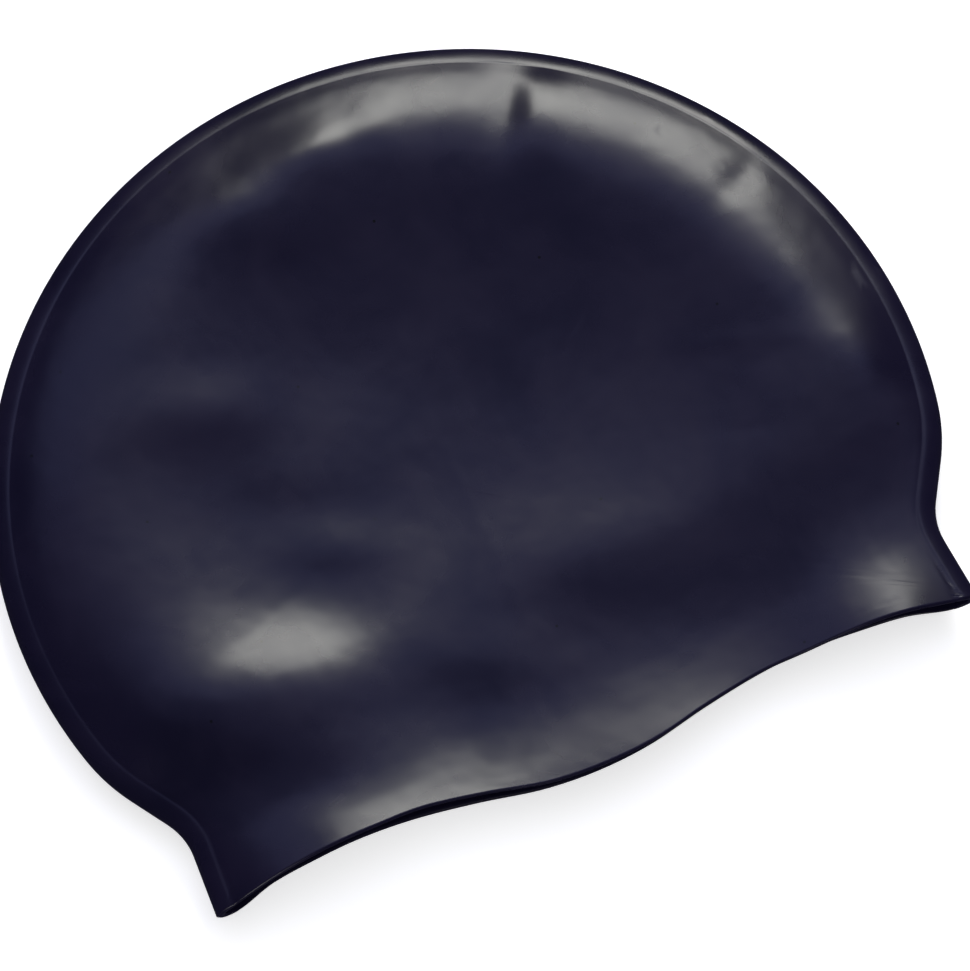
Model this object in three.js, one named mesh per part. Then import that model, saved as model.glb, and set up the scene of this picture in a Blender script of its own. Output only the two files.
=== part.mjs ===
import * as THREE from 'three';
import { mergeVertices } from 'three/addons/utils/BufferGeometryUtils.js';

// A moulded silicone swim cap, lying on its side. It is one piece: an upper wall and a lower wall that meet
// in a round bead, which runs from one corner of the mouth over the crown to the other corner.
// +X runs along the mouth, +Y points from the mouth to the crown and +Z is up. The origin is on the surface
// that the cap lies on, under the middle of its box.

// Outline of the flat cap, in millimetres: a chain of round and straight stretches down each side

const CROWN_RADIUS = 115;
const SHOULDER_RADIUS = 48;
const SHOULDER_RUN = 10.5;
const NECK_RADIUS = 17;
const FLARE_RUN = 16.2;

// Leans of the outline's sides in degrees, inwards on the way down: where the crown's round ends, on the
// straight stretch above the neck, and outwards on the flare below it

const CROWN_LEAN = 13;
const SHOULDER_LEAN = 31;
const FLARE_LEAN = 4.5;

// Thickness of the rubber, in millimetres: the walls, half the bead's height, the bead's width from its edge
// to where the walls start, and the solid rubber in the fold

const WALL = 1;
const BEAD_HALF = 3.3;
const BEAD_WIDTH = 4.5;
const BEAD_DEPTH = 2.4;

// Heights of the walls, in millimetres: the bead's middle over the surface that the cap lies on, the rise of
// the upper wall above the bead, and how far from the bead each wall takes its height

const BEAD_HEIGHT = 8.5;
const UPPER_RISE = 5.8;
const UPPER_REACH = 8;
const LOWER_REACH = 30;

// Roundness of the bead outside, of the fold inside and of the lower wall's way down. 2 is a plain round.

const BEAD_ROUND = 1.15;
const FOLD_ROUND = 2;
const LOWER_ROUND = 2.5;

// Height of the waves along the edge of the mouth, in millimetres

const RIM_WAVE = 8;

// Roll of the upper wall inside the bead. inward is a share of CROWN_RADIUS from where the wall starts, and
// rise a share of UPPER_RISE.

const ROLL_SECTIONS = [
  { inward: 0, rise: 0 },
  { inward: 0.006, rise: 0.05 },
  { inward: 0.035, rise: 0.33 },
  { inward: 0.07, rise: 0.6 },
  { inward: 0.105, rise: 0.82 },
  { inward: 0.14, rise: 0.99 },
  { inward: 0.175, rise: 1.1 },
  { inward: 0.21, rise: 1.15 },
  { inward: 0.245, rise: 1.14 },
  { inward: 0.3, rise: 1.05 },
  { inward: 0.36, rise: 0.9 },
  { inward: 0.42, rise: 0.77 },
  { inward: 0.48, rise: 0.67 },
  { inward: 0.54, rise: 0.6 },
  { inward: 0.6, rise: 0.57 },
];

// Upper wall between the dome and the mouth. down is a share of the way from the dome's middle to the
// corners of the mouth, roll is what is left of the roll there, and rise a share of UPPER_RISE.

const NECK_SECTIONS = [
  { down: 0, roll: 1, rise: 0 },
  { down: 0.2, roll: 1, rise: 0 },
  { down: 0.36, roll: 0.88, rise: 0 },
  { down: 0.5, roll: 0.68, rise: -0.06 },
  { down: 0.64, roll: 0.5, rise: -0.18 },
  { down: 0.8, roll: 0.37, rise: -0.34 },
  { down: 1, roll: 0.3, rise: -0.4 },
];

// Edge of the mouth on each wall: a lobe in the middle that covers an ear, with a shallow arch on each side.
// across is a share of the way from the middle to a corner, and arch a share of RIM_WAVE above the corners.

const UPPER_RIM = [
  { across: 0, arch: -0.55 },
  { across: 0.14, arch: -0.43 },
  { across: 0.3, arch: 0.03 },
  { across: 0.45, arch: 0.32 },
  { across: 0.58, arch: 0.3 },
  { across: 0.7, arch: 0.24 },
  { across: 0.84, arch: 0.13 },
  { across: 1, arch: 0 },
];
const LOWER_RIM = [
  { across: 0, arch: -0.03 },
  { across: 0.14, arch: 0.09 },
  { across: 0.3, arch: 0.5 },
  { across: 0.45, arch: 0.8 },
  { across: 0.58, arch: 0.91 },
  { across: 0.7, arch: 0.86 },
  { across: 0.84, arch: 0.62 },
  { across: 1, arch: 0 },
];

// Hollows and swells of the soft upper wall. across, up, wide and tall are shares of CROWN_RADIUS, turn is
// in degrees, and swell a share of UPPER_RISE, below zero in a hollow.

const SWELLS = [
  { across: 0.05, up: 0.1, wide: 0.7, tall: 0.64, turn: -20, swell: -0.65 },
  { across: -0.03, up: 0.12, wide: 0.42, tall: 0.38, turn: -24, swell: -0.5 },
  { across: -0.5, up: -0.28, wide: 0.17, tall: 0.12, turn: -24, swell: 0.49 },
  { across: -0.54, up: -0.78, wide: 0.46, tall: 0.28, turn: -15, swell: 1.75 },
  { across: 0.16, up: -0.8, wide: 0.34, tall: 0.26, turn: -10, swell: 0.95 },
  { across: 0.68, up: -0.69, wide: 0.2, tall: 0.2, turn: 0, swell: 1.1 },
  { across: 0.42, up: 0.76, wide: 0.045, tall: 0.14, turn: -30, swell: -0.2 },
  { across: 0.5, up: 0.73, wide: 0.045, tall: 0.14, turn: -30, swell: 0.17 },
  { across: 0.09, up: 0.83, wide: 0.045, tall: 0.1, turn: -8, swell: -0.06 },
  { across: 0.02, up: 0.81, wide: 0.14, tall: 0.07, turn: 0, swell: 0.24 },
  { across: -0.02, up: 0.73, wide: 0.13, tall: 0.08, turn: -24, swell: 0.08 },
  { across: -0.19, up: 0.73, wide: 0.13, tall: 0.08, turn: -24, swell: 0.22 },
  { across: 0.78, up: 0.17, wide: 0.26, tall: 0.09, turn: -74, swell: 0.13 },
  { across: 0.82, up: 0.4, wide: 0.035, tall: 0.08, turn: -62, swell: -0.12 },
  { across: 0.88, up: -0.07, wide: 0.1, tall: 0.1, turn: 0, swell: 0.22 },
  { across: -0.76, up: -0.27, wide: 0.18, tall: 0.12, turn: -24, swell: 0.3 },
  { across: -0.55, up: -0.41, wide: 0.2, tall: 0.09, turn: -24, swell: 0.2 },
  { across: -0.13, up: -0.36, wide: 0.2, tall: 0.09, turn: -24, swell: 0.12 },
  { across: -0.26, up: 0.23, wide: 0.28, tall: 0.14, turn: -24, swell: 0.2 },
  { across: -0.31, up: -0.01, wide: 0.12, tall: 0.06, turn: -24, swell: 0.11 },
  { across: -0.28, up: 0.06, wide: 0.15, tall: 0.12, turn: -24, swell: 0.04 },
  { across: -0.46, up: 0.37, wide: 0.15, tall: 0.08, turn: -14, swell: 0.18 },
  { across: -0.34, up: 0.18, wide: 0.1, tall: 0.06, turn: -24, swell: 0.04 },
  { across: -0.35, up: 0.43, wide: 0.2, tall: 0.12, turn: -14, swell: 0.1 },
  { across: 0.2, up: -0.25, wide: 0.2, tall: 0.12, turn: -14, swell: 0.2 },
  { across: 0.66, up: 0.05, wide: 0.22, tall: 0.02, turn: -24, swell: 0.014 },
  { across: -0.01, up: -0.08, wide: 0.02, tall: 0.25, turn: 0, swell: 0.01 },
];

// Fineness of the walls: rays from the dome's middle, and rings round it. bead holds the first rings'
// distances from the edge as shares of BEAD_WIDTH, and the other rings crowd towards the bead.

const BEAD_STEPS = { crown: 17, shoulder: 3, shoulderRun: 2, neck: 4, flareRun: 3 };
const BEAD_DETAIL = 8;
const RIM_STEPS = 13;
const RIM_CROWDING = 2.4;
const RINGS = { bead: [0, 0.04, 0.25, 0.62, 1, 1.25], wall: 9, crowding: 1.5 };

const RUBBER = new THREE.MeshStandardMaterial({ color: 0x1c1b33, roughness: 0.42, metalness: 0 });

// One side of the outline, from the top of the crown to the corner of the mouth, with its outward normals.
// detail is how many points each step has.

function sideOutline(detail) {
  const stretches = [
    { radius: CROWN_RADIUS, from: -90, to: CROWN_LEAN, steps: BEAD_STEPS.crown },
    { radius: SHOULDER_RADIUS, from: CROWN_LEAN, to: SHOULDER_LEAN, steps: BEAD_STEPS.shoulder },
    { run: SHOULDER_RUN, from: SHOULDER_LEAN, to: SHOULDER_LEAN, steps: BEAD_STEPS.shoulderRun },
    { radius: -NECK_RADIUS, from: SHOULDER_LEAN, to: -FLARE_LEAN, steps: BEAD_STEPS.neck },
    { run: FLARE_RUN, from: -FLARE_LEAN, to: -FLARE_LEAN, steps: BEAD_STEPS.flareRun },
  ];
  const points = [{ x: 0, y: CROWN_RADIUS, normalX: 0, normalY: 1 }];
  for (const { radius = 0, run = 0, from, to, steps } of stretches) {
    const start = points.at(-1);
    const first = THREE.MathUtils.degToRad(from);
    for (let step = 1; step <= steps * detail; step += 1) {
      const share = step / (steps * detail);
      const lean = THREE.MathUtils.degToRad(from + (to - from) * share);
      const roundX = radius * (Math.cos(lean) - Math.cos(first));
      const roundY = radius * (Math.sin(first) - Math.sin(lean));
      points.push({
        x: start.x + roundX - run * share * Math.sin(lean),
        y: start.y + roundY - run * share * Math.cos(lean),
        normalX: Math.cos(lean),
        normalY: -Math.sin(lean),
      });
    }
  }
  return points;
}

// Whole outline of the bead, from the right corner of the mouth over the crown to the left one

function beadOutline(detail, inset) {
  const side = sideOutline(detail).map((point) => ({
    x: point.x - inset * point.normalX,
    y: point.y - inset * point.normalY,
  }));
  side.at(-1).y = -MOUTH_DEPTH;
  const mirrored = side.slice(1).map((point) => ({ x: -point.x, y: point.y }));
  return [...side.reverse(), ...mirrored];
}

const CORNER = sideOutline(1).at(-1);
const MOUTH_DEPTH = -CORNER.y;
const BEAD_LINE = beadOutline(BEAD_DETAIL, 0);

// Distance from a place in the outline to the bead's outer edge

function distanceToBead(x, y) {
  let nearest = Infinity;
  for (let index = 1; index < BEAD_LINE.length; index += 1) {
    const start = BEAD_LINE[index - 1];
    const alongX = BEAD_LINE[index].x - start.x;
    const alongY = BEAD_LINE[index].y - start.y;
    const reach = ((x - start.x) * alongX + (y - start.y) * alongY) / (alongX ** 2 + alongY ** 2);
    const share = THREE.MathUtils.clamp(reach, 0, 1);
    const gap = Math.hypot(x - start.x - share * alongX, y - start.y - share * alongY);
    nearest = Math.min(nearest, gap);
  }
  return nearest;
}

// Smooth value of a table's column at a place along its other column

function readTable(rows, along, column, place) {
  const last = rows.length - 1;
  const held = THREE.MathUtils.clamp(place, rows[0][along], rows[last][along]);
  const found = rows.findIndex((row) => row[along] > held);
  const low = found < 0 ? last - 1 : found - 1;
  const slope = (index) => {
    const before = rows[Math.max(index - 1, 0)];
    const after = rows[Math.min(index + 1, last)];
    const inside = index > 0 && index < last;
    return inside ? (after[column] - before[column]) / (after[along] - before[along]) : 0;
  };
  const length = rows[low + 1][along] - rows[low][along];
  const share = (held - rows[low][along]) / length;
  const rest = 1 - share;
  const start = rest ** 2 * (1 + 2 * share) * rows[low][column];
  const end = share ** 2 * (3 - 2 * share) * rows[low + 1][column];
  return start + end + length * share * rest * (rest * slope(low) - share * slope(low + 1));
}

// Rise of the upper wall above the bead

function upperRise(x, y, distance) {
  const inward = Math.max(distance - BEAD_WIDTH, 0);
  const down = -y / MOUTH_DEPTH;
  let rise = readTable(NECK_SECTIONS, 'down', 'rise', down);
  for (const { across, up, wide, tall, turn, swell } of SWELLS) {
    const angle = THREE.MathUtils.degToRad(turn);
    const offX = x / CROWN_RADIUS - across;
    const offY = y / CROWN_RADIUS - up;
    const alongWide = (offX * Math.cos(angle) + offY * Math.sin(angle)) / wide;
    const alongTall = (offY * Math.cos(angle) - offX * Math.sin(angle)) / tall;
    rise += swell * Math.exp(-(alongWide ** 2) - alongTall ** 2);
  }
  const roll = readTable(ROLL_SECTIONS, 'inward', 'rise', inward / CROWN_RADIUS);
  const rollLeft = readTable(NECK_SECTIONS, 'down', 'roll', down);
  return UPPER_RISE * (roll * rollLeft + rise * (1 - Math.exp(-inward / UPPER_REACH)));
}

// Drop of the lower wall below the bead, until it lies flat

function lowerDrop(distance) {
  const inward = THREE.MathUtils.clamp((distance - BEAD_WIDTH) / LOWER_REACH, 0, 1);
  return (BEAD_HEIGHT - BEAD_HALF) * (1 - (1 - inward) ** LOWER_ROUND);
}

// Half the bead's height outside and inside, at a distance from its edge

function quarterRound(distance, roundness) {
  const left = 1 - THREE.MathUtils.clamp(distance / BEAD_WIDTH, 0, 1);
  return Math.sqrt(1 - left ** roundness);
}

function beadOutside(distance) {
  return BEAD_HALF * quarterRound(distance, BEAD_ROUND);
}

function beadInside(distance) {
  return (BEAD_HALF - WALL) * quarterRound(distance - BEAD_DEPTH, FOLD_ROUND);
}

// Heights of the four surfaces. The inner ones turn round inside the bead.

const HEIGHTS = {
  upperOuter: (x, y, distance) => BEAD_HEIGHT + beadOutside(distance) + upperRise(x, y, distance),
  upperInner: (x, y, distance) => BEAD_HEIGHT + beadInside(distance) + upperRise(x, y, distance),
  lowerOuter: (x, y, distance) => BEAD_HEIGHT - beadOutside(distance) - lowerDrop(distance),
  lowerInner: (x, y, distance) => BEAD_HEIGHT - beadInside(distance) - lowerDrop(distance),
};

// Edge of one surface: along the bead from the right corner to the left one, then back along the mouth

function surfaceEdge(rim, inset) {
  const bead = beadOutline(1, inset).map((point) => ({ ...point, onBead: true }));
  const corner = bead[0].x;
  const edge = [...bead];
  for (let step = 1; step < 2 * RIM_STEPS; step += 1) {
    const share = step / RIM_STEPS - 1;
    const across = Math.sign(share) * (1 - (1 - Math.abs(share)) ** RIM_CROWDING);
    const arch = readTable(rim, 'across', 'arch', Math.abs(across));
    edge.push({ x: corner * across, y: RIM_WAVE * arch - MOUTH_DEPTH, onBead: false });
  }
  return edge;
}

// Distances of the rings from the edge, along a ray of this length

function ringDistances(length) {
  const bead = RINGS.bead.map((share) => share * BEAD_WIDTH);
  const start = bead.at(-1);
  const wall = [];
  for (let ring = 1; ring < RINGS.wall; ring += 1) {
    wall.push(start + (length - start) * (ring / RINGS.wall) ** RINGS.crowding);
  }
  return [...bead, ...wall];
}

// Rings of points of one surface, from its edge to the dome's middle

function surfaceRings(rim, inset, heightAt) {
  const rays = surfaceEdge(rim, inset).map(({ x, y, onBead }) => {
    const length = Math.hypot(x, y);
    return ringDistances(length).map((inward, ring) => {
      const share = 1 - inward / length;
      const flat = { x: x * share, y: y * share };
      const folded = onBead && ring === 0;
      const height = folded ? BEAD_HEIGHT : heightAt(flat.x, flat.y, distanceToBead(flat.x, flat.y));
      return new THREE.Vector3(flat.x, flat.y, height);
    });
  });
  const rings = rays[0].map((_, ring) => rays.map((ray) => ray[ring]));
  const middle = new THREE.Vector3(0, 0, heightAt(0, 0, distanceToBead(0, 0)));
  return { rings, middle };
}

// Triangles between two rings of points, and from the last ring to the middle. They face up, or down where
// turned is true.

function addTriangle(triangles, a, b, c, turned) {
  triangles.push(...(turned ? [a, c, b] : [a, b, c]));
}

function addStrip(triangles, first, second, turned) {
  for (let index = 0; index < first.length - 1; index += 1) {
    addTriangle(triangles, first[index], first[index + 1], second[index + 1], turned);
    addTriangle(triangles, first[index], second[index + 1], second[index], turned);
  }
}

function addSurface(triangles, { rings, middle }, turned) {
  const closed = rings.map((ring) => [...ring, ring[0]]);
  for (let ring = 1; ring < closed.length; ring += 1) {
    addStrip(triangles, closed[ring - 1], closed[ring], turned);
  }
  const inmost = closed.at(-1);
  for (let index = 1; index < inmost.length; index += 1) {
    addTriangle(triangles, inmost[index - 1], inmost[index], middle, turned);
  }
}

// The whole cap: two outer surfaces, two inner ones and the cut edge of the mouth between them

function capGeometry() {
  const upperOuter = surfaceRings(UPPER_RIM, 0, HEIGHTS.upperOuter);
  const upperInner = surfaceRings(UPPER_RIM, BEAD_DEPTH, HEIGHTS.upperInner);
  const lowerOuter = surfaceRings(LOWER_RIM, 0, HEIGHTS.lowerOuter);
  const lowerInner = surfaceRings(LOWER_RIM, BEAD_DEPTH, HEIGHTS.lowerInner);
  const triangles = [];
  addSurface(triangles, upperOuter, false);
  addSurface(triangles, lowerInner, false);
  addSurface(triangles, upperInner, true);
  addSurface(triangles, lowerOuter, true);
  const leftCorner = upperOuter.rings[0].length - 2 * RIM_STEPS;
  const mouth = ({ rings }) => [...rings[0].slice(leftCorner), rings[0][0]];
  addStrip(triangles, mouth(upperOuter), mouth(upperInner), true);
  addStrip(triangles, mouth(lowerOuter), mouth(lowerInner), false);
  const geometry = mergeVertices(new THREE.BufferGeometry().setFromPoints(triangles), 1e-4);
  geometry.computeBoundingBox();
  const centre = geometry.boundingBox.getCenter(new THREE.Vector3());
  geometry.translate(-centre.x, -centre.y, -geometry.boundingBox.min.z);
  geometry.computeVertexNormals();
  return geometry;
}

const group = new THREE.Group();
const cap = new THREE.Mesh(capGeometry(), RUBBER);
cap.name = 'cap_shell';
group.add(cap);

export default group;
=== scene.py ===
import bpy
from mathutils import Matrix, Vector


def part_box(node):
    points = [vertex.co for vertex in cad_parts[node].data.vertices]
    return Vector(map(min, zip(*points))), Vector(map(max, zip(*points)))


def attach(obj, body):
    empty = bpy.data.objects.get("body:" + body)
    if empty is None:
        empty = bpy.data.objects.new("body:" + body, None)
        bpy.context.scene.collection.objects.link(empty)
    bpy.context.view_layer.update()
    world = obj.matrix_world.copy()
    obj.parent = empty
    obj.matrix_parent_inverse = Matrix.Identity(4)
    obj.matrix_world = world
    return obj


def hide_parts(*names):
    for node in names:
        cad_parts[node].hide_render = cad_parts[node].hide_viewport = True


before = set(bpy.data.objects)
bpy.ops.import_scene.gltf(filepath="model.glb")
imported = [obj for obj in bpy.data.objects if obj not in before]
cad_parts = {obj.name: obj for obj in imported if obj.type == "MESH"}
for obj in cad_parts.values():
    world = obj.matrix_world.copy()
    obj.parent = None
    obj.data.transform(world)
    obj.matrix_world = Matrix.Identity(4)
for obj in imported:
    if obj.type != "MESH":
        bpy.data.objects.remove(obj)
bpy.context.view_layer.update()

import math

import bpy
from mathutils import Matrix, Vector
from mathutils.kdtree import KDTree

# A moulded silicone swim cap, lying on its side. +X runs along the mouth, +Y points to the crown, +Z is up.

MM = 0.001

# Outline of the flat cap. The crown's radius and the dome's middle come from the frame.

cap_low, cap_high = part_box("cap_shell")
CROWN_RADIUS = (cap_high.x - cap_low.x) / 2
MIDDLE_Y = cap_high.y - CROWN_RADIUS
SHOULDER_RADIUS = 48 * MM
SHOULDER_RUN = 10.5 * MM
NECK_RADIUS = 17 * MM
FLARE_RUN = 16.2 * MM

# Leans of the outline's sides in degrees, inwards on the way down

CROWN_LEAN = 13
SHOULDER_LEAN = 31
FLARE_LEAN = 4.5

# Thickness of the rubber. The bead's outside is rounded by BEAD_ROUND and the fold inside it by FOLD_ROUND,
# where 2 is a plain round.

WALL = 1 * MM
BEAD_HALF = 3.3 * MM
BEAD_WIDTH = 4.5 * MM
BEAD_ROUND = 1.15
BEAD_DEPTH = 2.4 * MM
FOLD_ROUND = 2
GROOVE_DEPTH = 0.22 * MM
GROOVE_WIDTH = 0.55 * MM

# Heights of the walls, how far from the bead each takes its height, and the height of the mouth's waves

BEAD_HEIGHT = 8.5 * MM
UPPER_RISE = 5.8 * MM
UPPER_REACH = 8 * MM
LOWER_REACH = 30 * MM
LOWER_ROUND = 2.5
RIM_WAVE = 8 * MM

# Roll of the upper wall inside the bead: inward is a share of CROWN_RADIUS, and rise a share of UPPER_RISE

ROLL_SECTIONS = [
    {"inward": 0, "rise": 0},
    {"inward": 0.006, "rise": 0.05},
    {"inward": 0.035, "rise": 0.33},
    {"inward": 0.07, "rise": 0.6},
    {"inward": 0.105, "rise": 0.82},
    {"inward": 0.14, "rise": 0.99},
    {"inward": 0.175, "rise": 1.1},
    {"inward": 0.21, "rise": 1.15},
    {"inward": 0.245, "rise": 1.14},
    {"inward": 0.3, "rise": 1.05},
    {"inward": 0.36, "rise": 0.9},
    {"inward": 0.42, "rise": 0.77},
    {"inward": 0.48, "rise": 0.67},
    {"inward": 0.54, "rise": 0.6},
    {"inward": 0.6, "rise": 0.57},
]

# Upper wall between the dome and the mouth: down is a share of the way from the dome's middle to the
# corners of the mouth, roll is what is left of the roll there, and rise a share of UPPER_RISE

NECK_SECTIONS = [
    {"down": 0, "roll": 1, "rise": 0},
    {"down": 0.2, "roll": 1, "rise": 0},
    {"down": 0.36, "roll": 0.88, "rise": 0},
    {"down": 0.5, "roll": 0.68, "rise": -0.06},
    {"down": 0.64, "roll": 0.5, "rise": -0.18},
    {"down": 0.8, "roll": 0.37, "rise": -0.34},
    {"down": 1, "roll": 0.3, "rise": -0.4},
]

# Edge of the mouth on each wall: across is a share of the way from the middle to a corner, and arch a share
# of RIM_WAVE above the corners

UPPER_RIM = [
    {"across": 0, "arch": -0.55},
    {"across": 0.14, "arch": -0.43},
    {"across": 0.3, "arch": 0.03},
    {"across": 0.45, "arch": 0.32},
    {"across": 0.58, "arch": 0.3},
    {"across": 0.7, "arch": 0.24},
    {"across": 0.84, "arch": 0.13},
    {"across": 1, "arch": 0},
]
LOWER_RIM = [
    {"across": 0, "arch": -0.03},
    {"across": 0.14, "arch": 0.09},
    {"across": 0.3, "arch": 0.5},
    {"across": 0.45, "arch": 0.8},
    {"across": 0.58, "arch": 0.91},
    {"across": 0.7, "arch": 0.86},
    {"across": 0.84, "arch": 0.62},
    {"across": 1, "arch": 0},
]

# Hollows and swells of the soft upper wall: across, up, wide and tall are shares of CROWN_RADIUS, turn is in
# degrees, and swell a share of UPPER_RISE, below zero in a hollow

SWELLS = [
    {"across": 0.05, "up": 0.1, "wide": 0.7, "tall": 0.64, "turn": -20, "swell": -0.65},
    {"across": -0.03, "up": 0.12, "wide": 0.42, "tall": 0.38, "turn": -24, "swell": -0.5},
    {"across": -0.5, "up": -0.28, "wide": 0.17, "tall": 0.12, "turn": -24, "swell": 0.49},
    {"across": -0.54, "up": -0.78, "wide": 0.46, "tall": 0.28, "turn": -15, "swell": 1.75},
    {"across": 0.16, "up": -0.8, "wide": 0.34, "tall": 0.26, "turn": -10, "swell": 0.95},
    {"across": 0.68, "up": -0.69, "wide": 0.2, "tall": 0.2, "turn": 0, "swell": 1.1},
    {"across": 0.42, "up": 0.76, "wide": 0.045, "tall": 0.14, "turn": -30, "swell": -0.2},
    {"across": 0.5, "up": 0.73, "wide": 0.045, "tall": 0.14, "turn": -30, "swell": 0.17},
    {"across": 0.09, "up": 0.83, "wide": 0.045, "tall": 0.1, "turn": -8, "swell": -0.06},
    {"across": 0.02, "up": 0.81, "wide": 0.14, "tall": 0.07, "turn": 0, "swell": 0.24},
    {"across": -0.02, "up": 0.73, "wide": 0.13, "tall": 0.08, "turn": -24, "swell": 0.08},
    {"across": -0.19, "up": 0.73, "wide": 0.13, "tall": 0.08, "turn": -24, "swell": 0.22},
    {"across": 0.78, "up": 0.17, "wide": 0.26, "tall": 0.09, "turn": -74, "swell": 0.13},
    {"across": 0.82, "up": 0.4, "wide": 0.035, "tall": 0.08, "turn": -62, "swell": -0.12},
    {"across": 0.88, "up": -0.07, "wide": 0.1, "tall": 0.1, "turn": 0, "swell": 0.22},
    {"across": -0.76, "up": -0.27, "wide": 0.18, "tall": 0.12, "turn": -24, "swell": 0.3},
    {"across": -0.55, "up": -0.41, "wide": 0.2, "tall": 0.09, "turn": -24, "swell": 0.2},
    {"across": -0.13, "up": -0.36, "wide": 0.2, "tall": 0.09, "turn": -24, "swell": 0.12},
    {"across": -0.26, "up": 0.23, "wide": 0.28, "tall": 0.14, "turn": -24, "swell": 0.2},
    {"across": -0.31, "up": -0.01, "wide": 0.12, "tall": 0.06, "turn": -24, "swell": 0.11},
    {"across": -0.28, "up": 0.06, "wide": 0.15, "tall": 0.12, "turn": -24, "swell": 0.04},
    {"across": -0.46, "up": 0.37, "wide": 0.15, "tall": 0.08, "turn": -14, "swell": 0.18},
    {"across": -0.34, "up": 0.18, "wide": 0.1, "tall": 0.06, "turn": -24, "swell": 0.04},
    {"across": -0.35, "up": 0.43, "wide": 0.2, "tall": 0.12, "turn": -14, "swell": 0.1},
    {"across": 0.2, "up": -0.25, "wide": 0.2, "tall": 0.12, "turn": -14, "swell": 0.2},
    {"across": 0.66, "up": 0.05, "wide": 0.22, "tall": 0.02, "turn": -24, "swell": 0.014},
    {"across": -0.01, "up": -0.08, "wide": 0.02, "tall": 0.25, "turn": 0, "swell": 0.01},
]

# Mesh of the walls: rays from the dome's middle to the bead and the mouth, and rings round it. The first
# rings stand at the near distances from the bead's edge, in millimetres, and the others crowd towards it.

BEAD_STEP = 1.7 * MM
BEAD_LINE_STEP = 0.25 * MM
RIM_STEPS = 54
RIM_CROWDING = 1.7
RIM_BLEND = 14 * MM
OUTER_NEAR = [
    0, 0.08, 0.3, 0.65, 1.1, 1.6, 2.1, 2.6, 3.0, 3.4, 3.7,
    3.95, 4.15, 4.35, 4.55, 4.8, 5.1, 5.6, 6.4, 7.4, 8.6, 10,
]
OUTER_RINGS = 60
INNER_NEAR = [0, 0.1, 0.4, 1.0, 1.8, 2.8, 4.2, 6, 8]
INNER_RINGS = 34
BEAD_RING_CROWDING = 1.35
MOUTH_RING_CROWDING = 1.3

# Lip between the outside and the inside at the mouth

LIP_CUTS = 3
LIP_ROUND = 0.4 * MM


def side_outline(step):
    """One side of the outline, from the top of the crown to the corner of the mouth, with outward normals"""
    stretches = [
        {"radius": CROWN_RADIUS, "run": 0, "start": -90, "end": CROWN_LEAN},
        {"radius": SHOULDER_RADIUS, "run": 0, "start": CROWN_LEAN, "end": SHOULDER_LEAN},
        {"radius": 0, "run": SHOULDER_RUN, "start": SHOULDER_LEAN, "end": SHOULDER_LEAN},
        {"radius": -NECK_RADIUS, "run": 0, "start": SHOULDER_LEAN, "end": -FLARE_LEAN},
        {"radius": 0, "run": FLARE_RUN, "start": -FLARE_LEAN, "end": -FLARE_LEAN},
    ]
    points = [(Vector((0, CROWN_RADIUS)), Vector((0, 1)))]
    for stretch in stretches:
        start = points[-1][0]
        first = math.radians(stretch["start"])
        turn = math.radians(stretch["end"] - stretch["start"])
        length = abs(stretch["radius"] * turn) + stretch["run"]
        count = math.ceil(length / step)
        for index in range(1, count + 1):
            share = index / count
            lean = first + turn * share
            run = stretch["run"] * share
            x = stretch["radius"] * (math.cos(lean) - math.cos(first)) - run * math.sin(lean)
            y = stretch["radius"] * (math.sin(first) - math.sin(lean)) - run * math.cos(lean)
            points.append((start + Vector((x, y)), Vector((math.cos(lean), -math.sin(lean)))))
    return points


MOUTH_DEPTH = -side_outline(BEAD_STEP)[-1][0].y


def bead_outline(step, inset):
    """The bead's line from the right corner of the mouth over the crown to the left corner"""
    side = [(place - normal * inset, normal) for place, normal in side_outline(step)]
    side[-1][0].y = -MOUTH_DEPTH
    left = [(Vector((-place.x, place.y)), Vector((-normal.x, normal.y))) for place, normal in side[1:]]
    return side[::-1] + left


bead_line = bead_outline(BEAD_LINE_STEP, 0)
bead_tree = KDTree(len(bead_line))
for index, (place, normal) in enumerate(bead_line):
    bead_tree.insert(place.to_3d(), index)
bead_tree.balance()


def distance_to_bead(place):
    """How far a place in the outline is from the bead's outer edge"""
    nearest = bead_tree.find(place.to_3d())[1]
    edge, normal = bead_line[nearest]
    return max((edge - place).dot(normal), 0)


def read_table(rows, along, column, place):
    """Smooth value of a table's column at a place along its other column"""
    last = len(rows) - 1
    held = min(max(place, rows[0][along]), rows[last][along])
    low = max(index for index in range(last) if rows[index][along] <= held)

    def slope(index):
        if index in (0, last):
            return 0
        before = rows[index - 1]
        after = rows[index + 1]
        return (after[column] - before[column]) / (after[along] - before[along])

    length = rows[low + 1][along] - rows[low][along]
    share = (held - rows[low][along]) / length
    rest = 1 - share
    start = rest ** 2 * (1 + 2 * share) * rows[low][column]
    end = share ** 2 * (1 + 2 * rest) * rows[low + 1][column]
    return start + end + length * share * rest * (rest * slope(low) - share * slope(low + 1))


def upper_rise(place, distance):
    """Rise of the upper wall above the bead"""
    inward = max(distance - BEAD_WIDTH, 0)
    down = -place.y / MOUTH_DEPTH
    rise = read_table(NECK_SECTIONS, "down", "rise", down)
    for row in SWELLS:
        angle = math.radians(row["turn"])
        off_x = place.x / CROWN_RADIUS - row["across"]
        off_y = place.y / CROWN_RADIUS - row["up"]
        along_wide = (off_x * math.cos(angle) + off_y * math.sin(angle)) / row["wide"]
        along_tall = (off_y * math.cos(angle) - off_x * math.sin(angle)) / row["tall"]
        rise += row["swell"] * math.exp(-along_wide ** 2 - along_tall ** 2)
    roll = read_table(NECK_SECTIONS, "down", "roll", down)
    roll *= read_table(ROLL_SECTIONS, "inward", "rise", inward / CROWN_RADIUS)
    return UPPER_RISE * (roll + rise * (1 - math.exp(-inward / UPPER_REACH)))


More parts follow.
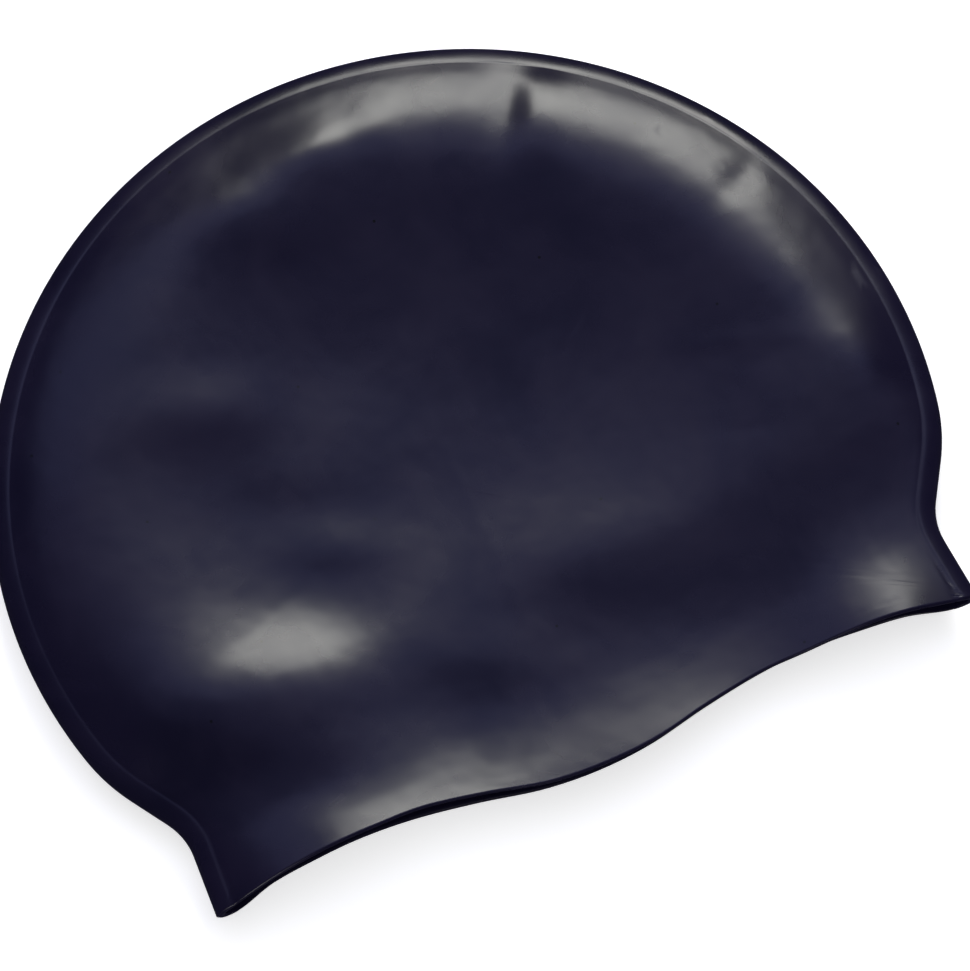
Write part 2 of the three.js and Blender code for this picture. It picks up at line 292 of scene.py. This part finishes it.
def lower_drop(distance):
    """Drop of the lower wall below the bead, until it lies flat"""
    inward = min(max((distance - BEAD_WIDTH) / LOWER_REACH, 0), 1)
    return (BEAD_HEIGHT - BEAD_HALF) * (1 - (1 - inward) ** LOWER_ROUND)


def bead_round(distance):
    """Height of the bead at a distance from its edge, as a share of its half height"""
    left = 1 - min(max(distance / BEAD_WIDTH, 0), 1)
    return math.sqrt(1 - left ** BEAD_ROUND)


def groove(place, distance):
    """Shallow groove where the wall leaves the bead, from the dome's middle down to the mouth"""
    depth = GROOVE_DEPTH * max(-place.y / MOUTH_DEPTH, 0)
    return depth * math.exp(-((distance - BEAD_WIDTH - GROOVE_WIDTH / 2) / GROOVE_WIDTH) ** 2)


def outer_height(place, upper):
    """Height of the outside of the upper or the lower wall"""
    distance = distance_to_bead(place)
    bead = BEAD_HALF * bead_round(distance) - groove(place, distance)
    if upper:
        return BEAD_HEIGHT + bead + upper_rise(place, distance)
    return BEAD_HEIGHT - bead - lower_drop(distance)


def inner_height(place, upper):
    """Height of the inside of the upper or the lower wall, which turns round inside the bead"""
    distance = distance_to_bead(place)
    left = 1 - min(max((distance - BEAD_DEPTH) / BEAD_WIDTH, 0), 1)
    bead = (BEAD_HALF - WALL) * math.sqrt(1 - left ** FOLD_ROUND)
    if upper:
        return BEAD_HEIGHT + bead + upper_rise(place, distance)
    return BEAD_HEIGHT - bead - lower_drop(distance)


def wall_edge(rim, inset):
    """Edge of one wall, along the bead from the right corner to the left one and back along the mouth"""
    bead = [place for place, normal in bead_outline(BEAD_STEP, inset)]
    mouth = []
    for step in range(1, 2 * RIM_STEPS):
        share = step / RIM_STEPS - 1
        across = math.copysign(1 - (1 - abs(share)) ** RIM_CROWDING, share)
        arch = read_table(rim, "across", "arch", abs(across))
        mouth.append(Vector((bead[0].x * across, RIM_WAVE * arch - MOUTH_DEPTH)))
    return bead, mouth


def ring_distances(length, near, rings, near_corner):
    """Distances of the rings from the edge: close together in the bead, and even where the mouth is"""
    first = near[-1] * MM
    spread = rings - len(near) + 1
    bead = [step * MM for step in near]
    for step in range(1, spread + 1):
        bead.append(first + (length - first) * (step / spread) ** BEAD_RING_CROWDING)
    mouth = [length * (step / rings) ** MOUTH_RING_CROWDING for step in range(rings + 1)]
    return [a * near_corner + b * (1 - near_corner) for a, b in zip(bead, mouth)]


def deselect():
    bpy.ops.object.select_all(action="DESELECT")


def pouch(name, inset, near, rings, height):
    """A sphere split open along the mouth and laid flat: its upper half is the upper wall, its lower half
    the lower wall, its equator the bead and the mouth, and its poles the dome's middle"""
    edges = {True: wall_edge(UPPER_RIM, inset), False: wall_edge(LOWER_RIM, inset)}
    bead_count = len(edges[True][0])
    rays = bead_count + len(edges[True][1])
    deselect()
    bpy.ops.mesh.primitive_uv_sphere_add(segments=rays, ring_count=2 * rings, radius=CROWN_RADIUS)
    cap = bpy.context.object
    cap.name = name

    def ray_and_ring(place):
        ray = round(math.atan2(place.y, place.x) / math.tau * rays) % rays
        ring = round(math.asin(min(abs(place.z) / CROWN_RADIUS, 1)) / (math.pi / 2) * rings)
        return ray, ring

    bpy.ops.object.mode_set(mode="EDIT")
    bpy.ops.mesh.select_mode(type="EDGE")
    bpy.ops.mesh.select_all(action="DESELECT")
    bpy.ops.object.mode_set(mode="OBJECT")
    mesh = cap.data
    for edge in mesh.edges:
        ends = [ray_and_ring(mesh.vertices[index].co) for index in edge.vertices]
        edge.select = all(ring == 0 and (ray >= bead_count - 1 or ray == 0) for ray, ring in ends)
    bpy.ops.object.mode_set(mode="EDIT")
    bpy.ops.mesh.edge_split(type="EDGE")
    bpy.ops.object.mode_set(mode="OBJECT")

    mesh = cap.data
    face_height = [0.0] * len(mesh.vertices)
    for face in mesh.polygons:
        for index in face.vertices:
            face_height[index] += face.center.z
    distances = {}
    for upper, (bead, mouth) in edges.items():
        corners = (bead[0], bead[-1])
        for ray, edge in enumerate(bead + mouth):
            off_corner = min((edge - corner).length for corner in corners) / RIM_BLEND
            mouth_share = min(off_corner, 1) if ray >= bead_count else 0
            near_corner = 1 - mouth_share ** 2 * (3 - 2 * mouth_share)
            distances[upper, ray] = edge, ring_distances(edge.length, near, rings, near_corner)
    for vertex in mesh.vertices:
        ray, ring = ray_and_ring(vertex.co)
        upper = face_height[vertex.index] > 0
        edge, steps = distances[upper, ray]
        flat = edge * (1 - steps[ring] / edge.length)
        in_fold = ring == 0 and ray < bead_count
        vertex.co = (flat.x, flat.y + MIDDLE_Y, BEAD_HEIGHT if in_fold else height(flat, upper))
    bpy.ops.object.shade_smooth()
    return cap


def round_lip(mesh, count, outer_count):
    """Pushes the middle of the lip out of the mouth in a half round"""
    trees = []
    for indexes in (range(outer_count), range(outer_count, count)):
        tree = KDTree(len(indexes))
        for index in indexes:
            tree.insert(mesh.vertices[index].co, index)
        tree.balance()
        trees.append(tree)
    for vertex in mesh.vertices[count:]:
        outside, inside = [tree.find(vertex.co)[2] for tree in trees]
        share = outside / (outside + inside)
        vertex.co.y -= LIP_ROUND * math.sqrt(1 - (2 * share - 1) ** 2)


def swim_cap():
    """The whole cap: an outer and an inner pouch, joined by the rounded lip of the mouth"""
    inner = pouch("inside", BEAD_DEPTH, INNER_NEAR, INNER_RINGS, inner_height)
    bpy.ops.object.mode_set(mode="EDIT")
    bpy.ops.mesh.select_all(action="SELECT")
    bpy.ops.mesh.flip_normals()
    bpy.ops.object.mode_set(mode="OBJECT")
    outer = pouch("swim_cap", 0, OUTER_NEAR, OUTER_RINGS, outer_height)
    deselect()
    inner.select_set(True)
    outer.select_set(True)
    bpy.context.view_layer.objects.active = outer
    outer_count = len(outer.data.vertices)
    bpy.ops.object.join()
    count = len(outer.data.vertices)
    bpy.ops.object.mode_set(mode="EDIT")
    bpy.ops.mesh.select_mode(type="EDGE")
    bpy.ops.mesh.select_all(action="DESELECT")
    bpy.ops.mesh.select_non_manifold()
    bpy.ops.mesh.bridge_edge_loops(number_cuts=LIP_CUTS, interpolation="LINEAR")
    bpy.ops.object.mode_set(mode="OBJECT")
    round_lip(outer.data, count, outer_count)
    bpy.ops.object.shade_smooth()
    return outer


def linear(code):
    """sRGB hex turned to linear"""
    values = [int(code[index:index + 2], 16) / 255 for index in (1, 3, 5)]
    return [value / 12.92 if value <= 0.04045 else ((value + 0.055) / 1.055) ** 2.4 for value in values] + [1]


def add_node(tree, kind, settings=None, inputs=None, links=None):
    """A node with its settings, its inputs' values and the sockets that feed it"""
    node = tree.nodes.new(kind)
    for name, value in (settings or {}).items():
        setattr(node, name, value)
    for name, value in (inputs or {}).items():
        node.inputs[name].default_value = value
    for name, socket in (links or {}).items():
        tree.links.new(socket, node.inputs[name])
    return node


def new_material(name):
    material = bpy.data.materials.new(name)
    material.use_nodes = True
    material.node_tree.nodes.clear()
    return material, material.node_tree


# Silicone: sizes of its cloudy bloom, of the unevenness of the soft wall, of the moulded grain and of dust

BLOOM_SIZE = 34 * MM
UNEVEN_SIZE = 15 * MM
UNEVEN_HEIGHT = 0.22 * MM
GRAIN_SIZE = 0.45 * MM
GRAIN_HEIGHT = 0.004 * MM
DUST_SPACING = 46 * MM
DUST_SIZE = 0.35 * MM


def moulded_silicone():
    """Navy silicone rubber moulded against polished steel. The eye sees a deep, smooth dark body with soft
    reflections, which a faint bloom clouds, an uneven soft wall that frays them, and a few specks of dust."""
    material, tree = new_material("moulded_silicone")
    place = add_node(tree, "ShaderNodeTexCoord").outputs["Object"]
    bloom = add_node(tree, "ShaderNodeTexNoise", inputs={
        "Scale": 1 / BLOOM_SIZE,
        "Detail": 4,
        "Roughness": 0.6,
        "Distortion": 0.4,
    }, links={"Vector": place}).outputs[0]
    roughness = add_node(tree, "ShaderNodeMapRange", inputs={
        "From Min": 0.3,
        "From Max": 0.7,
        "To Min": 0.21,
        "To Max": 0.33,
    }, links={"Value": bloom}).outputs[0]
    shades = add_node(tree, "ShaderNodeValToRGB", links={"Fac": bloom})
    shades.color_ramp.elements[0].position = 0.35
    shades.color_ramp.elements[0].color = linear("#0d0b20")
    shades.color_ramp.elements[1].position = 0.65
    shades.color_ramp.elements[1].color = linear("#130f26")
    nearest_dust = add_node(tree, "ShaderNodeTexVoronoi", settings={
        "voronoi_dimensions": "2D",
    }, inputs={"Scale": 1 / DUST_SPACING}, links={"Vector": place}).outputs["Distance"]
    dust = add_node(tree, "ShaderNodeMath", settings={"operation": "LESS_THAN"}, inputs={
        1: DUST_SIZE / DUST_SPACING,
    }, links={0: nearest_dust}).outputs[0]
    colour = add_node(tree, "ShaderNodeMix", settings={"data_type": "RGBA"}, inputs={
        7: linear("#020203"),
    }, links={0: dust, 6: shades.outputs[0]})
    uneven = add_node(tree, "ShaderNodeTexNoise", inputs={
        "Scale": 1 / UNEVEN_SIZE,
        "Detail": 2,
        "Roughness": 0.45,
    }, links={"Vector": place}).outputs[0]
    wall_bump = add_node(tree, "ShaderNodeBump", inputs={"Distance": UNEVEN_HEIGHT}, links={"Height": uneven})
    grain = add_node(tree, "ShaderNodeTexNoise", inputs={
        "Scale": 1 / GRAIN_SIZE,
        "Detail": 1,
    }, links={"Vector": place}).outputs[0]
    grain_bump = add_node(tree, "ShaderNodeBump", inputs={"Distance": GRAIN_HEIGHT}, links={
        "Height": grain,
        "Normal": wall_bump.outputs[0],
    })
    shader = add_node(tree, "ShaderNodeBsdfPrincipled", inputs={"IOR": 1.43}, links={
        "Base Color": colour.outputs[2],
        "Roughness": roughness,
        "Normal": grain_bump.outputs[0],
    })
    add_node(tree, "ShaderNodeOutputMaterial", links={"Surface": shader.outputs[0]})
    return material


# Brightness of the lit table under the paper

TABLE_LIGHT = 0.55


def pale_floor():
    """Matt white paper on a lit table, which keeps its shadows faint"""
    material, tree = new_material("paper_floor")
    shader = add_node(tree, "ShaderNodeBsdfPrincipled", inputs={
        "Base Color": linear("#fcfcfc"),
        "Roughness": 0.9,
        "Emission Color": linear("#ffffff"),
        "Emission Strength": TABLE_LIGHT,
    })
    add_node(tree, "ShaderNodeOutputMaterial", links={"Surface": shader.outputs[0]})
    return material


# The photograph's view, in its 970 x 971 frame: it looks down on the lying cap, from the mouth's side

PHOTO_WIDTH = 970
PHOTO_HEIGHT = 971
DOME_PIXEL = (468.9, 490.5)
DOME_PIXELS_WIDE = 958
VIEW_TILT = math.radians(21.9)
VIEW_TURN = math.radians(24.29)
VIEW_DISTANCE = 6
SENSOR = 36
NEAREST_SEEN = 0.05

PICTURE_UP = Vector((math.sin(VIEW_TURN), math.cos(VIEW_TURN), 0))
PICTURE_RIGHT = Vector((math.cos(VIEW_TURN), -math.sin(VIEW_TURN), 0))


def aim(item, direction, target, distance):
    """Puts a light or camera at a distance from a target, looking at it, with the picture's up kept"""
    back = direction.normalized()
    item.location = target + back * distance
    item.rotation_euler = back.to_track_quat("Z", "Y").to_euler()


def camera():
    pixel = 2 * CROWN_RADIUS / DOME_PIXELS_WIDE
    back = -PICTURE_UP * math.sin(VIEW_TILT) + Vector((0, 0, math.cos(VIEW_TILT)))
    up = PICTURE_UP * math.cos(VIEW_TILT) + Vector((0, 0, math.sin(VIEW_TILT)))
    dome = Vector((0, MIDDLE_Y, BEAD_HEIGHT))
    aside = PICTURE_RIGHT * (PHOTO_WIDTH / 2 - DOME_PIXEL[0]) * pixel
    above = up * (DOME_PIXEL[1] - PHOTO_HEIGHT / 2) * pixel
    data = bpy.data.cameras.new("camera")
    data.sensor_width = SENSOR
    data.lens = SENSOR * VIEW_DISTANCE / (PHOTO_HEIGHT * pixel)
    data.clip_start = NEAREST_SEEN
    item = bpy.data.objects.new("camera", data)
    bpy.context.collection.objects.link(item)
    item.matrix_world = Matrix((
        (PICTURE_RIGHT.x, up.x, back.x, 0),
        (PICTURE_RIGHT.y, up.y, back.y, 0),
        (PICTURE_RIGHT.z, up.z, back.z, 0),
        (0, 0, 0, 1),
    ))
    item.location = dome + aside + above + back * VIEW_DISTANCE
    bpy.context.scene.camera = item


# Soft boxes. aside is the direction in degrees to the right of the picture's up, height the elevation in
# degrees, away, wide and deep are metres, and mirrored says whether the rubber shows the box's reflection.

LIGHTS = [
    {"name": "window", "aside": 7, "height": 36, "away": 1.5, "wide": 0.82, "deep": 0.5,
     "radiance": 11, "colour": "#fffff8", "mirrored": True},
    {"name": "ceiling", "aside": 0, "height": 59, "away": 1.5, "wide": 2.1, "deep": 0.62,
     "radiance": 0.87, "colour": "#b5bcff", "mirrored": True},
    {"name": "dim_ceiling", "aside": 0, "height": 82, "away": 1.5, "wide": 1.6, "deep": 0.55,
     "radiance": 0.2, "colour": "#b5bcff", "mirrored": True},
    {"name": "fill", "aside": 185, "height": 35, "away": 1.5, "wide": 0.6, "deep": 0.4,
     "radiance": 5, "colour": "#ffffff", "mirrored": True},
    {"name": "room", "aside": 0, "height": 90, "away": 1.8, "wide": 3, "deep": 3,
     "radiance": 0.75, "colour": "#ffffff", "mirrored": False},
]
FLOOR_SIZE = 6
AIR_COLOUR = "#dfdfff"
AIR_LIGHT = 0.05


def soft_light(row):
    data = bpy.data.lights.new(row["name"], "AREA")
    data.shape = "RECTANGLE"
    data.size = row["wide"]
    data.size_y = row["deep"]
    data.energy = row["radiance"] * math.pi * row["wide"] * row["deep"]
    data.color = linear(row["colour"])[:3]
    item = bpy.data.objects.new(row["name"], data)
    bpy.context.collection.objects.link(item)
    item.visible_glossy = row["mirrored"]
    aside = math.radians(row["aside"])
    height = math.radians(row["height"])
    level = PICTURE_UP * math.cos(aside) + PICTURE_RIGHT * math.sin(aside)
    direction = level * math.cos(height) + Vector((0, 0, math.sin(height)))
    aim(item, direction, Vector((0, 0, 0)), row["away"])


def studio():
    deselect()
    bpy.ops.mesh.primitive_plane_add(size=FLOOR_SIZE)
    floor = bpy.context.object
    floor.name = "floor"
    floor.data.materials.append(pale_floor())
    floor.visible_glossy = False
    for row in LIGHTS:
        soft_light(row)
    world = bpy.data.worlds.new("room")
    bpy.context.scene.world = world
    world.use_nodes = True
    world.node_tree.nodes["Background"].inputs["Color"].default_value = linear(AIR_COLOUR)
    world.node_tree.nodes["Background"].inputs["Strength"].default_value = AIR_LIGHT
    bpy.context.scene.view_settings.view_transform = "Standard"


camera()
cap = swim_cap()
cap.data.materials.clear()
cap.data.materials.append(moulded_silicone())
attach(cap, "root")
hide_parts("cap_shell")
studio()
